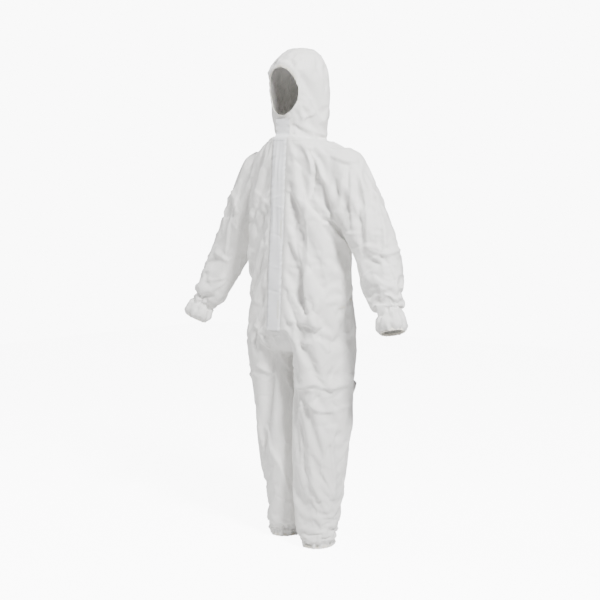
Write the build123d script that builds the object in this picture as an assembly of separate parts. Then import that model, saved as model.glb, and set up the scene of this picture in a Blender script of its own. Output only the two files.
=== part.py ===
from build123d import *
import os

# One-piece hooded coverall, in millimetres. The wearer faces -Y and the wearer's left is +X.
# The origin is the centre of the neck seam. Every height is counted up from the ankle hems.

# Cloth
wall = 1.2
body_gap = 0.5
neck_height = 1460

# Front centre line: straight, so that the zip runs straight
front_at_neck = 130
front_lean = 0.06

# Body, each row is height, half width and reach to the back
body_rows = [
    (neck_height, 96, 88),
    (1438, 156, 100),
    (1408, 208, 118),
    (1350, 228, 134),
    (1230, 230, 150),
    (1120, 216, 155),
    (1000, 210, 157),
    (930, 209, 159),
    (885, 192, 145),
    (840, 200, 152),
    (800, 205, 155),
]
waist_height = 885
waist_band_width = 28
waist_band_thickness = 2.4
waist_band_clearance = 0.2
waist_band_front_gap = 62
body_end_height = 776
crotch_height = 724
crotch_reach = 144
zip_slot_half_width = 9

# Hood, each row is height, half width, reach to the front and reach to the back
hood_rows = [
    (1520, 90, 125, 87),
    (1565, 96, 130, 90),
    (1640, 102, 147, 92),
    (1710, 101, 144, 84),
    (1760, 84, 114, 66),
    (1788, 52, 72, 40),
    (1798, 16, 30, 4),
]
hood_strip_half_width = 42
face_height = 1634
face_half_width = 70
face_half_height = 88
face_elastic_width = 9

# Arms, from the shoulder joint through the elbow to the wrist, as on the wearer's left.
# The right wrist is held a little further out and forward.
shoulder_point = (180, -3, 1366)
elbow_point = (338, -3, 1092)
wrist_points = {"left": (424, -60, 846), "right": (440, -76, 846)}
# Each station is the distance along its run and the sleeve's radius there
upper_arm_stations = [(-62, 26), (-38, 62), (0, 84), (110, 82), (210, 78), (316, 73)]
forearm_radius = 68
forearm_taper = 75
wrist_radius = 45
elbow_band_reach = 62
armpit = (221, 1132)
drop_seam = (314, 1284)
cuff_length = 38
cuff_radius = 53
cuff_end_radius = 36
wrist_elastic_width = 9

# Legs, each row is height, half width, reach to the front and reach to the back
leg_offset = 103
knee_height = 480
leg_rows = [
    (776, 100, 146, 134),
    (700, 100, 142, 127),
    (600, 100, 132, 119),
    (480, 97, 122, 112),
    (330, 90, 110, 106),
    (220, 80, 96, 96),
    (140, 75, 90, 90),
]
thigh_top_height = 672
knee_band_reach = 90
ankle_height = 92
ankle_half_width = 70
ankle_half_depth = 84
ankle_cuff_half_width = 84
ankle_cuff_half_depth = 98
ankle_elastic_width = 12
ankle_elastic_half_width = 58
ankle_elastic_half_depth = 68

# Zip, recessed behind the front edges, with its storm flap in front
zip_top_height = 1452
zip_bottom_height = 800
zip_depth = 3.6
tape_width = 13
tape_thickness = 0.8
teeth_width = 2.6
teeth_thickness = 2.2
teeth_gap = 0.2
slider_length = 11
slider_width = 9
slider_plate = 1.2
slider_clearance = 0.35
slider_drop = 6
tab_length = 22
tab_width = 6
tab_thickness = 1.2
pin_radius = 0.8
pin_clearance = 0.06
pin_rise = 1.5
cheek_thickness = 0.9
cheek_clearance = 0.3
stop_length = 3
flap_width = 60
flap_thickness = 1.2
flap_standoff = 5.5
flap_bottom_height = 792
chin_flap_top_height = 1536
chin_flap_gap = 1
strip_width = 10
strip_inset = 4
strip_end_inset = 16
strip_thickness = 0.4
liner_thickness = 0.2
label_width = 50
label_drop = 34
label_thickness = 0.6
label_reach = 79

sides = {"left": 1, "right": -1}
far = 2400


def z_of(height):
    return height - neck_height


def front_at(height):
    return front_at_neck + (neck_height - height) * front_lean


def oval(row, inset=0, x=0):
    height, half_width, front, back = row
    place = Plane(origin=(x, (back - front) / 2, z_of(height)), z_dir=(0, 0, 1))
    return place * Ellipse(half_width - inset, (front + back) / 2 - inset)


def solid_through(rows, inset=0, x=0):
    return loft([oval(row, inset, x) for row in rows])


def capped_inside(rows):
    # the last row is a closed crown, so the inside stops one wall lower
    crown = rows[-1]
    return solid_through(rows[:-1] + [(crown[0] - 2 * wall,) + crown[1:]], wall)


def tube(rows, x=0, thickness=wall, inset=0):
    return solid_through(rows, inset, x) - solid_through(rows, inset + thickness, x)


def row_at(rows, height):
    for above, below in zip(rows, rows[1:]):
        if below[0] <= height <= above[0]:
            t = (above[0] - height) / (above[0] - below[0])
            return (height,) + tuple(a + (b - a) * t for a, b in zip(above[1:], below[1:]))
    raise ValueError("height outside the rows")


def rows_between(rows, high, low):
    inside = [row for row in rows if low < row[0] < high]
    return [row_at(rows, high)] + inside + [row_at(rows, low)]


def half_space(direction):
    return Pos(*[part * far / 2 for part in direction]) * Box(far, far, far)


def torso_rows():
    rows = [(height, half_width, front_at(height), back) for height, half_width, back in body_rows]
    last = rows[-1]
    return rows + [(body_end_height, last[1], front_at(body_end_height), last[3] - 2)]


# ---- arms

def direction(start, end):
    run = Vector(*end) - Vector(*start)
    return run.normalized(), run.length


def sleeve_disc(start, along, station, inset=0):
    distance, radius = station
    return Plane(origin=Vector(*start) + along * distance, z_dir=along) * Circle(radius - inset)


def sleeve_solid(start, along, stations, inset=0):
    return loft([sleeve_disc(start, along, station, inset) for station in stations])


def sleeve_tube(start, along, stations):
    return sleeve_solid(start, along, stations) - sleeve_solid(start, along, stations, wall)


def radius_at(stations, distance):
    for near, next_one in zip(stations, stations[1:]):
        if near[0] <= distance <= next_one[0]:
            t = (distance - near[0]) / (next_one[0] - near[0])
            return near[1] + (next_one[1] - near[1]) * t
    return stations[-1][1]


def placed(point, sign):
    return (point[0] * sign, point[1], z_of(point[2]))


def upper_arm(sign, inset=0):
    start, elbow = placed(shoulder_point, sign), placed(elbow_point, sign)
    along, length = direction(start, elbow)
    end = length - elbow_band_reach
    first_distance, first_radius = upper_arm_stations[0]
    first = (first_distance + 2 * inset, first_radius)
    last = (end, radius_at(upper_arm_stations, end))
    stations = [first] + upper_arm_stations[1:-1] + [last]
    return sleeve_solid(start, along, stations, inset)


def beyond_drop_seam(sign, shift):
    # everything outboard of the sloping cut from the armpit up to the drop-shoulder seam
    run = Vector((drop_seam[0] - armpit[0]) * sign, 0, drop_seam[1] - armpit[1]).normalized()
    outward = Vector(run.Z * sign, 0, -run.X * sign)
    origin = Vector(armpit[0] * sign, 0, z_of(armpit[1])) + outward * shift
    return Plane(origin=origin, z_dir=outward) * Pos(0, 0, far / 2) * Box(far, far, far)


def make_arm(name, sign, torso):
    start, elbow = placed(shoulder_point, sign), placed(elbow_point, sign)
    wrist = placed(wrist_points[name], sign)
    down, upper_length = direction(start, elbow)
    fore, fore_length = direction(elbow, wrist)
    whole = upper_arm(sign) - upper_arm(sign, wall)
    elbow_radius = upper_arm_stations[-1][1]
    band_start = upper_length - elbow_band_reach
    band_radius = radius_at(upper_arm_stations, band_start)
    bend = [
        sleeve_disc(start, down, (band_start + body_gap, band_radius)),
        Plane(origin=elbow, z_dir=down + fore) * Circle(elbow_radius),
        sleeve_disc(elbow, fore, (elbow_band_reach, forearm_radius)),
    ]
    bend_core = [
        sleeve_disc(start, down, (band_start + body_gap, band_radius), wall),
        Plane(origin=elbow, z_dir=down + fore) * Circle(elbow_radius - wall),
        sleeve_disc(elbow, fore, (elbow_band_reach, forearm_radius), wall),
    ]
    lower = [
        (elbow_band_reach + body_gap, forearm_radius),
        (fore_length - forearm_taper, forearm_radius),
        (fore_length, wrist_radius),
    ]
    cuff_end = fore_length + cuff_length
    cuff = [
        (fore_length, wrist_radius),
        (fore_length + cuff_length / 2, cuff_radius),
        (cuff_end, cuff_end_radius),
    ]
    elastic = [(cuff_end, cuff_end_radius), (cuff_end + wrist_elastic_width, cuff_end_radius)]
    return {
        "shoulder_" + name: (whole - beyond_drop_seam(sign, 0)) - torso,
        "upper_sleeve_" + name: whole & beyond_drop_seam(sign, body_gap),
        "elbow_" + name: loft(bend) - loft(bend_core),
        "lower_sleeve_" + name: sleeve_tube(elbow, fore, lower),
        "sleeve_cuff_" + name: sleeve_tube(elbow, fore, cuff),
        "wrist_elastic_" + name: sleeve_tube(elbow, fore, elastic),
    }


# ---- body

def make_body(torso):
    shell = torso - solid_through(torso_rows(), wall)
    for sign in sides.values():
        shell = shell - upper_arm(sign, wall)
    slot = Pos(0, -far / 2, 0) * Box(2 * zip_slot_half_width, far, 2 * far)
    pieces = {}
    for name, sign in sides.items():
        half = shell & half_space((sign, 0, 0))
        pieces["front_panel_" + name] = (half & half_space((0, -1, 0))) - slot
        pieces["back_panel_" + name] = half & half_space((0, 1, 0))
    return pieces


def make_waist_elastic():
    lining = tube(torso_rows(), 0, waist_band_thickness, wall + waist_band_clearance)
    band = lining & Pos(0, 0, z_of(waist_height)) * Box(far, far, waist_band_width)
    return band - Pos(0, -far / 2, 0) * Box(2 * waist_band_front_gap, far, 2 * far)


def make_seat():
    top = torso_rows()[-1]
    bottom = (crotch_height, top[1], crotch_reach, crotch_reach)
    lifted = (crotch_height + wall, top[1], crotch_reach, crotch_reach)
    outer = solid_through([top, bottom])
    inner = solid_through([top, lifted], wall)
    for sign in sides.values():
        rows = rows_between(leg_rows, body_end_height, thigh_top_height)
        outer = outer + solid_through(rows, 0, leg_offset * sign)
        inner = inner + solid_through(rows, wall, leg_offset * sign)
    shell = outer - inner
    return {"seat_" + name: shell & half_space((sign, 0, 0)) for name, sign in sides.items()}


def make_leg(name, sign):
    x = leg_offset * sign
    knee_top = knee_height + knee_band_reach
    knee_bottom = knee_height - knee_band_reach
    shin_end = (ankle_height, ankle_half_width, ankle_half_depth, ankle_half_depth)
    elastic_oval = (ankle_elastic_half_width, ankle_elastic_half_depth, ankle_elastic_half_depth)
    elastic_top = (ankle_elastic_width,) + elastic_oval
    cuff_middle = (
        (ankle_height + ankle_elastic_width) / 2,
        ankle_cuff_half_width,
        ankle_cuff_half_depth,
        ankle_cuff_half_depth,
    )
    shin_rows = rows_between(leg_rows, knee_bottom - body_gap, leg_rows[-1][0]) + [shin_end]
    return {
        "thigh_" + name: tube(rows_between(leg_rows, thigh_top_height - body_gap, knee_top), x),
        "knee_" + name: tube(rows_between(leg_rows, knee_top - body_gap, knee_bottom), x),
        "shin_" + name: tube(shin_rows, x),
        "ankle_cuff_" + name: tube([shin_end, cuff_middle, elastic_top], x),
        "ankle_elastic_" + name: tube([elastic_top, (0,) + elastic_oval], x),
    }


# ---- hood

def face_prism(grow):
    oval_face = Plane.XZ * Ellipse(face_half_width + grow, face_half_height + grow)
    return Pos(0, 0, z_of(face_height)) * extrude(oval_face, far / 2)


def make_hood():
    shell = solid_through(hood_rows) - capped_inside(hood_rows)
    cloth = shell - face_prism(face_elastic_width)
    strip = Box(2 * hood_strip_half_width, 2 * far, 2 * far)
    middle = cloth & strip
    below_face = Pos(0, -far / 2, z_of(face_height) - far / 2) * Box(far, far, far)
    neck_bottom = torso_rows()[0]
    neck_top = (hood_rows[0][0] - body_gap,) + hood_rows[0][1:]
    pieces = {
        "hood_centre": middle - below_face,
        "hood_chin": middle & below_face,
        "face_elastic": (shell & face_prism(face_elastic_width)) - face_prism(0),
        "hood_neck": tube([neck_bottom, neck_top]),
    }
    for name, sign in sides.items():
        pieces["hood_" + name] = (cloth - strip) & half_space((sign, 0, 0))
    return pieces


# ---- zip and flap

def front_place(height, out=0):
    # x runs to the wearer's left, y runs up the front line, z points away from the wearer
    up = Vector(0, front_lean, 1).normalized()
    return Plane(origin=(0, -front_at(height), z_of(height)), x_dir=(1, 0, 0),
                 z_dir=Vector(1, 0, 0).cross(up)) * Pos(0, 0, out)


def front_length(high, low):
    return (high - low) * (1 + front_lean ** 2) ** 0.5


def front_box(high, low, low_x, high_x, low_out, high_out):
    size = Box(high_x - low_x, front_length(high, low), high_out - low_out)
    return front_place((high + low) / 2) * Pos((low_x + high_x) / 2, 0, (low_out + high_out) / 2) * size


def make_zip():
    pieces = {}
    tape_low = -zip_depth - tape_thickness / 2
    teeth_low = -zip_depth - teeth_thickness / 2
    inner, outer = teeth_gap / 2, teeth_gap / 2 + teeth_width
    stops = []
    for name, sign in sides.items():
        edges = sorted([sign * outer, sign * (outer + tape_width)])
        pieces["zip_tape_" + name] = front_box(
            zip_top_height, zip_bottom_height, *edges, tape_low, tape_low + tape_thickness)
        edges = sorted([sign * inner, sign * outer])
        teeth_top = zip_top_height - stop_length
        teeth_bottom = zip_bottom_height + stop_length
        pieces["zip_teeth_" + name] = front_box(
            teeth_top, teeth_bottom, *edges, teeth_low, teeth_low + teeth_thickness)
        stops.append(front_box(
            zip_top_height, teeth_top, *edges, teeth_low, teeth_low + teeth_thickness))
    pieces["zip_top_stops"] = Compound(children=stops)
    pieces["zip_bottom_stop"] = front_box(
        zip_bottom_height + stop_length, zip_bottom_height, -outer, outer, teeth_low,
        teeth_low + teeth_thickness)
    return pieces


def slider_top_height():
    return zip_top_height - stop_length - slider_drop


def slider_front():
    return -zip_depth + teeth_thickness / 2 + slider_clearance + slider_plate


def make_slider():
    top = slider_top_height()
    low = top - slider_length
    half = slider_width / 2
    gap_half = teeth_thickness / 2 + slider_clearance
    front = slider_front()
    plate = front_box(top, low, -half, half, front - slider_plate, front)
    back = front_box(top, low, -half, half, -zip_depth - gap_half - slider_plate, -zip_depth - gap_half)
    channel = teeth_gap / 2 + teeth_width + slider_clearance
    body = plate + back
    side_top = tape_thickness / 2 + slider_clearance
    for sign in sides.values():
        edges = sorted([sign * channel, sign * half])
        body = body + front_box(top, low, *edges, -zip_depth + side_top, front)
        body = body + front_box(top, low, *edges, -zip_depth - gap_half - slider_plate, -zip_depth - side_top)
    # the bridge joins the plates above the point where the two chains meet
    bridge = front_box(top + slider_plate, top, -half, half, -zip_depth - gap_half - slider_plate, front)
    slots = front_box(top + slider_plate + 1, top - 1, -half - 1, half + 1, -zip_depth - side_top,
                      -zip_depth + side_top)
    teeth_way = front_box(top + slider_plate + 1, top - 1, -channel, channel, -zip_depth - gap_half,
                          -zip_depth + gap_half)
    post = front_box(top + slider_plate, top - slider_plate, -teeth_gap / 4, teeth_gap / 4,
                     -zip_depth - gap_half, -zip_depth + gap_half)
    body = body + (bridge - slots - teeth_way) + post
    pin_height = (top + low) / 2
    cheek_inner = tab_width / 2 + cheek_clearance
    reach = pin_radius + cheek_thickness
    for sign in sides.values():
        edges = sorted([sign * cheek_inner, sign * (cheek_inner + cheek_thickness)])
        body = body + front_box(pin_height + reach, pin_height - reach, *edges, front,
                                front + pin_rise + reach)
    pin = front_place(pin_height, front + pin_rise) * Rot(0, 90, 0) * Cylinder(
        pin_radius, 2 * (cheek_inner + cheek_thickness / 2))
    body = body + pin
    eye = front_place(pin_height, front + pin_rise) * Rot(0, 90, 0) * Cylinder(
        pin_radius + pin_clearance + cheek_thickness / 2, tab_width)
    tab = eye + front_box(pin_height, pin_height - tab_length, -tab_width / 2, tab_width / 2,
                          front + pin_rise - tab_thickness / 2, front + pin_rise + tab_thickness / 2)
    hole = front_place(pin_height, front + pin_rise) * Rot(0, 90, 0) * Cylinder(
        pin_radius + pin_clearance, 2 * tab_width)
    return {"zip_slider": body, "pull_tab": tab - hole}


def make_flap():
    half = flap_width / 2
    flap_front = flap_standoff + flap_thickness
    strip_high = half - strip_inset
    strip_back = flap_standoff - strip_thickness
    strip_top, strip_low = neck_height - strip_end_inset, flap_bottom_height + strip_end_inset
    return {
        "storm_flap": front_box(neck_height, flap_bottom_height, -half, half, flap_standoff, flap_front),
        "chin_flap": front_box(chin_flap_top_height, neck_height + chin_flap_gap, -half, half,
                               flap_standoff, flap_front),
        "flap_adhesive": front_box(strip_top, strip_low, strip_high - strip_width, strip_high,
                                   strip_back, flap_standoff),
        "release_liner": front_box(strip_top, strip_low, strip_high - strip_width, strip_high,
                                   strip_back - liner_thickness, strip_back),
    }


def make_label():
    place = Pos(0, label_reach, z_of(neck_height - label_drop / 2 - 2))
    return place * Box(label_width, label_thickness, label_drop)


def make_suit():
    torso = solid_through(torso_rows())
    nodes = {}
    nodes.update(make_hood())
    nodes.update(make_body(torso))
    nodes["waist_elastic"] = make_waist_elastic()
    nodes.update(make_seat())
    for name, sign in sides.items():
        nodes.update(make_arm(name, sign, torso))
        nodes.update(make_leg(name, sign))
    nodes.update(make_zip())
    nodes.update(make_slider())
    nodes.update(make_flap())
    nodes["neck_label"] = make_label()
    return nodes


os.makedirs("parts", exist_ok=True)
for node, shape in make_suit().items():
    export_step(shape, "parts/" + node + ".step")
    print(node, "written")
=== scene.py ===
import bpy
import bmesh
import math
import numpy as np
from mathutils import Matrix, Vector
from mathutils.bvhtree import BVHTree
from mathutils.kdtree import KDTree


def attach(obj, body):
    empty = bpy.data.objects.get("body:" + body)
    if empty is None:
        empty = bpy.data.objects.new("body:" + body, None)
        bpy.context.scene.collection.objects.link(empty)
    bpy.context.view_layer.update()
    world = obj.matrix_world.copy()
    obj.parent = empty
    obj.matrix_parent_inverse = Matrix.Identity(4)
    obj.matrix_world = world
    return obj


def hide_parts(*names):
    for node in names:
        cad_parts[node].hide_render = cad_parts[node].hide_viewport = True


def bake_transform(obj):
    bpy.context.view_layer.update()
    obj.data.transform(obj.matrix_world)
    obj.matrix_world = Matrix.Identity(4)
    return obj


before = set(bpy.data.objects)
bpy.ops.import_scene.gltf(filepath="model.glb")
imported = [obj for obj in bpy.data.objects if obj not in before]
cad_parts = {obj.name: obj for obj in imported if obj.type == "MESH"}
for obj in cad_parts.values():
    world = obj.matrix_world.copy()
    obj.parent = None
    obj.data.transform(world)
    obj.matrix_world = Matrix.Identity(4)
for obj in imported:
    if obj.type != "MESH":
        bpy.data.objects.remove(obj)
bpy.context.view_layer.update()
print("frame loaded")

# heights in the settings are counted up from the ankle hems, so the neck seam is at 1.46
neckHeight = 1.46
sides = {"left": 1, "right": -1}


def up(height):
    return height - neckHeight


def lifted(point, sign=1):
    return Vector((point[0] * sign, point[1], up(point[2])))


# ---- materials
def nodeMaterial(name, settings):
    material = bpy.data.materials.new(name)
    material.use_nodes = True
    tree = material.node_tree
    shader = tree.nodes["Principled BSDF"]
    shader.inputs["Roughness"].default_value = settings["roughness"]
    shader.inputs["Metallic"].default_value = settings.get("metallic", 0.0)
    shader.inputs["Specular IOR Level"].default_value = settings.get("specular", 0.3)
    shader.inputs["Sheen Weight"].default_value = settings.get("sheen", 0.0)
    shader.inputs["Sheen Roughness"].default_value = 0.5
    coordinates = tree.nodes.new("ShaderNodeTexCoord")
    blotches = tree.nodes.new("ShaderNodeTexNoise")
    blotches.inputs["Scale"].default_value = settings["blotchScale"]
    blotches.inputs["Detail"].default_value = 3.0
    tree.links.new(coordinates.outputs["Object"], blotches.inputs["Vector"])
    tint = tree.nodes.new("ShaderNodeValToRGB")
    tint.color_ramp.elements[0].position = 0.3
    tint.color_ramp.elements[0].color = settings["darker"] + (1,)
    tint.color_ramp.elements[1].position = 0.7
    tint.color_ramp.elements[1].color = settings["paler"] + (1,)
    tree.links.new(blotches.outputs["Fac"], tint.inputs["Fac"])
    tree.links.new(tint.outputs["Color"], shader.inputs["Base Color"])
    last = None
    for grain in settings["grains"]:
        mapping = tree.nodes.new("ShaderNodeMapping")
        mapping.inputs["Scale"].default_value = grain.get("stretch", (1, 1, 1))
        tree.links.new(coordinates.outputs["Object"], mapping.inputs["Vector"])
        kind = "ShaderNodeTexVoronoi" if grain["kind"] == "cells" else "ShaderNodeTexNoise"
        texture = tree.nodes.new(kind)
        texture.inputs["Scale"].default_value = grain["scale"]
        if grain["kind"] == "cells":
            texture.feature = "DISTANCE_TO_EDGE"
            height = texture.outputs["Distance"]
        else:
            texture.inputs["Detail"].default_value = grain.get("detail", 4.0)
            texture.inputs["Roughness"].default_value = 0.6
            height = texture.outputs["Fac"]
        tree.links.new(mapping.outputs["Vector"], texture.inputs["Vector"])
        bump = tree.nodes.new("ShaderNodeBump")
        bump.inputs["Strength"].default_value = grain["strength"]
        bump.inputs["Distance"].default_value = grain["depth"]
        tree.links.new(height, bump.inputs["Height"])
        if last:
            tree.links.new(last.outputs["Normal"], bump.inputs["Normal"])
        last = bump
    tree.links.new(last.outputs["Normal"], shader.inputs["Normal"])
    return material


clothGrains = [
    {"kind": "noise", "scale": 26, "strength": 0.35, "depth": 0.010, "stretch": (1, 1, 0.55), "detail": 6},
    {"kind": "cells", "scale": 34, "strength": 0.12, "depth": 0.004, "stretch": (1, 1, 0.6)},
    {"kind": "noise", "scale": 420, "strength": 0.10, "depth": 0.0008, "detail": 3},
]
materials = {
    "suitCloth": nodeMaterial("suitCloth", {
        "roughness": 0.62, "sheen": 0.12, "specular": 0.30, "blotchScale": 7,
        "darker": (0.79, 0.78, 0.755), "paler": (0.85, 0.842, 0.82), "grains": clothGrains,
    }),
    "flapCloth": nodeMaterial("flapCloth", {
        "roughness": 0.58, "sheen": 0.1, "specular": 0.32, "blotchScale": 9,
        "darker": (0.82, 0.825, 0.84), "paler": (0.87, 0.875, 0.89), "grains": clothGrains[1:],
    }),
    "elastic": nodeMaterial("elasticCream", {
        "roughness": 0.75, "sheen": 0.2, "specular": 0.2, "blotchScale": 60,
        "darker": (0.72, 0.69, 0.60), "paler": (0.82, 0.79, 0.70),
        "grains": [{"kind": "noise", "scale": 260, "strength": 0.3, "depth": 0.001}],
    }),
    "zipTape": nodeMaterial("zipTape", {
        "roughness": 0.8, "sheen": 0.2, "specular": 0.2, "blotchScale": 90,
        "darker": (0.74, 0.74, 0.73), "paler": (0.80, 0.80, 0.79),
        "grains": [{"kind": "noise", "scale": 900, "strength": 0.35, "depth": 0.0006}],
    }),
    "zipTeeth": nodeMaterial("zipTeeth", {
        "roughness": 0.35, "specular": 0.5, "blotchScale": 30,
        "darker": (0.80, 0.80, 0.79), "paler": (0.84, 0.84, 0.83),
        "grains": [{"kind": "noise", "scale": 300, "strength": 0.05, "depth": 0.0004}],
    }),
    "sliderMetal": nodeMaterial("sliderMetal", {
        "roughness": 0.32, "metallic": 1.0, "specular": 0.5, "blotchScale": 200,
        "darker": (0.62, 0.63, 0.64), "paler": (0.74, 0.75, 0.76),
        "grains": [{"kind": "noise", "scale": 600, "strength": 0.12, "depth": 0.0004}],
    }),
    "adhesive": nodeMaterial("adhesive", {
        "roughness": 0.25, "specular": 0.5, "blotchScale": 60,
        "darker": (0.80, 0.80, 0.74), "paler": (0.85, 0.85, 0.80),
        "grains": [{"kind": "noise", "scale": 200, "strength": 0.1, "depth": 0.0005}],
    }),
    "linerPaper": nodeMaterial("linerPaper", {
        "roughness": 0.5, "specular": 0.4, "blotchScale": 40,
        "darker": (0.84, 0.84, 0.82), "paler": (0.88, 0.88, 0.86),
        "grains": [{"kind": "noise", "scale": 120, "strength": 0.12, "depth": 0.0006}],
    }),
    "labelTape": nodeMaterial("labelTape", {
        "roughness": 0.55, "specular": 0.3, "blotchScale": 80,
        "darker": (0.82, 0.82, 0.81), "paler": (0.87, 0.87, 0.86),
        "grains": [{"kind": "noise", "scale": 700, "strength": 0.25, "depth": 0.0004}],
    }),
}


def paint(piece, material):
    piece.data.materials.clear()
    piece.data.materials.append(materials[material])


# ---- the whole suit as one skin
bodyShape = {
    "frontAtNeck": 0.130, "frontLean": 0.060, "squareness": 2.5,
    "rows": [  # height, half width, reach to the back
        (1.475, 0.084, 0.080), (1.455, 0.126, 0.094), (1.438, 0.160, 0.102), (1.412, 0.202, 0.112),
        (1.35, 0.226, 0.122), (1.23, 0.214, 0.118), (1.12, 0.202, 0.110), (1.00, 0.201, 0.108),
        (0.93, 0.202, 0.112), (0.885, 0.198, 0.116), (0.84, 0.200, 0.130), (0.80, 0.201, 0.140),
    ],
    "seat": [  # height, half width, reach to the front and to the back
        (0.775, 0.196, 0.163, 0.146), (0.745, 0.178, 0.148, 0.132), (0.720, 0.130, 0.116, 0.100),
        (0.704, 0.060, 0.060, 0.050), (0.700, 0.020, 0.020, 0.020),
    ],
}
legShape = {
    "rows": [  # height, middle, half width, reach to the front and to the back
        (0.80, 0.106, 0.088, 0.155, 0.132), (0.74, 0.109, 0.091, 0.150, 0.128),
        (0.68, 0.110, 0.092, 0.142, 0.122), (0.60, 0.108, 0.092, 0.132, 0.114),
        (0.48, 0.104, 0.093, 0.116, 0.114), (0.33, 0.100, 0.090, 0.102, 0.112),
        (0.22, 0.098, 0.082, 0.090, 0.104), (0.14, 0.096, 0.076, 0.083, 0.097),
        (0.08, 0.095, 0.073, 0.082, 0.090), (0.045, 0.095, 0.070, 0.079, 0.082),
        (0.022, 0.095, 0.062, 0.071, 0.071), (0.002, 0.095, 0.052, 0.062, 0.062),
        (-0.012, 0.095, 0.052, 0.062, 0.062),
    ],
    "footShift": {1: -0.030, -1: 0.022}, "shiftBelow": 0.72,
}
armShape = {
    "shoulder": (0.180, -0.004, 1.372), "elbow": (0.344, -0.004, 1.094),
    "wrist": {1: (0.424, -0.060, 0.846), -1: (0.440, -0.076, 0.846)},
    "upper": [(-0.05, 0.056), (-0.03, 0.072), (0.0, 0.086), (0.11, 0.087), (0.21, 0.083), (0.29, 0.078)],
    # distance back from the wrist, then on past it through the cuff
    "fore": [(-0.235, 0.074), (-0.17, 0.070), (-0.09, 0.061), (-0.045, 0.053), (-0.016, 0.048),
             (0.000, 0.048), (0.020, 0.055), (0.034, 0.052), (0.042, 0.042), (0.060, 0.036)],
    "cuffEnd": 0.043,
}
hoodShape = {
    "rows": [  # height, half width, reach to the front and to the back
        (1.452, 0.094, 0.124, 0.092), (1.49, 0.088, 0.110, 0.082), (1.52, 0.088, 0.108, 0.083),
        (1.565, 0.094, 0.127, 0.084), (1.64, 0.100, 0.145, 0.084), (1.71, 0.098, 0.141, 0.073),
        (1.755, 0.083, 0.110, 0.056), (1.785, 0.052, 0.069, 0.034), (1.796, 0.014, 0.028, 0.002),
    ],
}
faceHole = {"height": 1.634, "halfWidth": 0.067, "halfHeight": 0.087}
axisX, axisY = Vector((1, 0, 0)), Vector((0, 1, 0))


def ovalRing(centre, sideAxis, frontAxis, half, front, back, count, power=2.0):
    ring = []
    for step in range(count):
        angle = 2 * math.pi * step / count
        across, along = math.cos(angle), math.sin(angle)
        size = (abs(across) ** power + abs(along) ** power) ** (-1 / power)
        reach = front if along < 0 else back
        ring.append(centre + sideAxis * (half * across * size) + frontAxis * (reach * along * size))
    return ring


def frontAt(height):
    return bodyShape["frontAtNeck"] + (neckHeight - height) * bodyShape["frontLean"]


def smoothRows(rows, steps=6):
    values = np.array(rows, float)
    made = []
    for i in range(len(values) - 1):
        before, near = values[max(i - 1, 0)], values[i]
        far, after = values[i + 1], values[min(i + 2, len(values) - 1)]
        for step in range(steps):
            t = step / steps
            made.append(0.5 * (2 * near + (far - before) * t
                               + (2 * before - 5 * near + 4 * far - after) * t * t
                               + (3 * near - before - 3 * far + after) * t ** 3))
    made.append(values[-1])
    return made


def meshObject(name, points, faces):
    mesh = bpy.data.meshes.new(name)
    mesh.from_pydata([tuple(p) for p in points], [], [tuple(f) for f in faces])
    piece = bpy.data.objects.new(name, mesh)
    bpy.context.collection.objects.link(piece)
    return piece


def faceOutwards(piece):
    shape = bmesh.new()
    shape.from_mesh(piece.data)
    bmesh.ops.remove_doubles(shape, verts=shape.verts, dist=0.00002)
    bmesh.ops.recalc_face_normals(shape, faces=shape.faces)
    shape.to_mesh(piece.data)
    shape.free()


def gridFaces(rows, columns, closedAcross=True, closedAlong=False):
    faces = []
    for r in range(rows if closedAlong else rows - 1):
        for c in range(columns if closedAcross else columns - 1):
            r2, c2 = (r + 1) % rows, (c + 1) % columns
            faces.append((r * columns + c, r * columns + c2, r2 * columns + c2, r2 * columns + c))
    return faces


def loftObject(name, rings):
    count = len(rings[0])
    faces = gridFaces(len(rings), count)
    faces.append(tuple(range(count)))
    faces.append(tuple(range((len(rings) - 1) * count, len(rings) * count)))
    piece = meshObject(name, [p for ring in rings for p in ring], faces)
    faceOutwards(piece)
    return piece


def uprightLoft(name, rows, power=2.0):
    rings = []
    for height, half, front, back in smoothRows(rows):
        rings.append(ovalRing(Vector((0, 0, up(height))), axisX, axisY, half, front, back, 56, power))
    return loftObject(name, rings)


def legShift(height, sign):
    return legShape["footShift"][sign] * (1 - min(max(height, 0) / legShape["shiftBelow"], 1.0))


def legLoft(name, sign):
    rings = []
    for height, middle, half, front, back in smoothRows(legShape["rows"]):
        centre = Vector((middle * sign, legShift(height, sign), up(height)))
        rings.append(ovalRing(centre, axisX, axisY, half, front, back, 56))
    return loftObject(name, rings)


def armPoints(sign):
    shoulder, elbow = lifted(armShape["shoulder"], sign), lifted(armShape["elbow"], sign)
    wrist = lifted(armShape["wrist"][sign])
    wrist.x = abs(wrist.x) * sign
    return shoulder, elbow, wrist


def armLoft(name, sign):
    shoulder, elbow, wrist = armPoints(sign)
    down, fore = (elbow - shoulder).normalized(), (wrist - elbow).normalized()
    stations = [(shoulder + down * d, down, r) for d, r in smoothRows(armShape["upper"], 4)]
    stations += [(wrist + fore * d, fore, r) for d, r in smoothRows(armShape["fore"], 4)]
    rings = []
    for centre, along, radius in stations:
        side = axisY.cross(along).normalized()
        rings.append(ovalRing(centre, side, along.cross(side), radius, radius, radius, 40))
    return loftObject(name, rings)


def chooseOnly(piece):
    bpy.ops.object.select_all(action="DESELECT")
    piece.select_set(True)
    bpy.context.view_layer.objects.active = piece


def applied(piece, kind, **settings):
    chooseOnly(piece)
    modifier = piece.modifiers.new(kind.lower(), kind)
    for key, value in settings.items():
        setattr(modifier, key, value)
    bpy.ops.object.modifier_apply(modifier=modifier.name)


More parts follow.
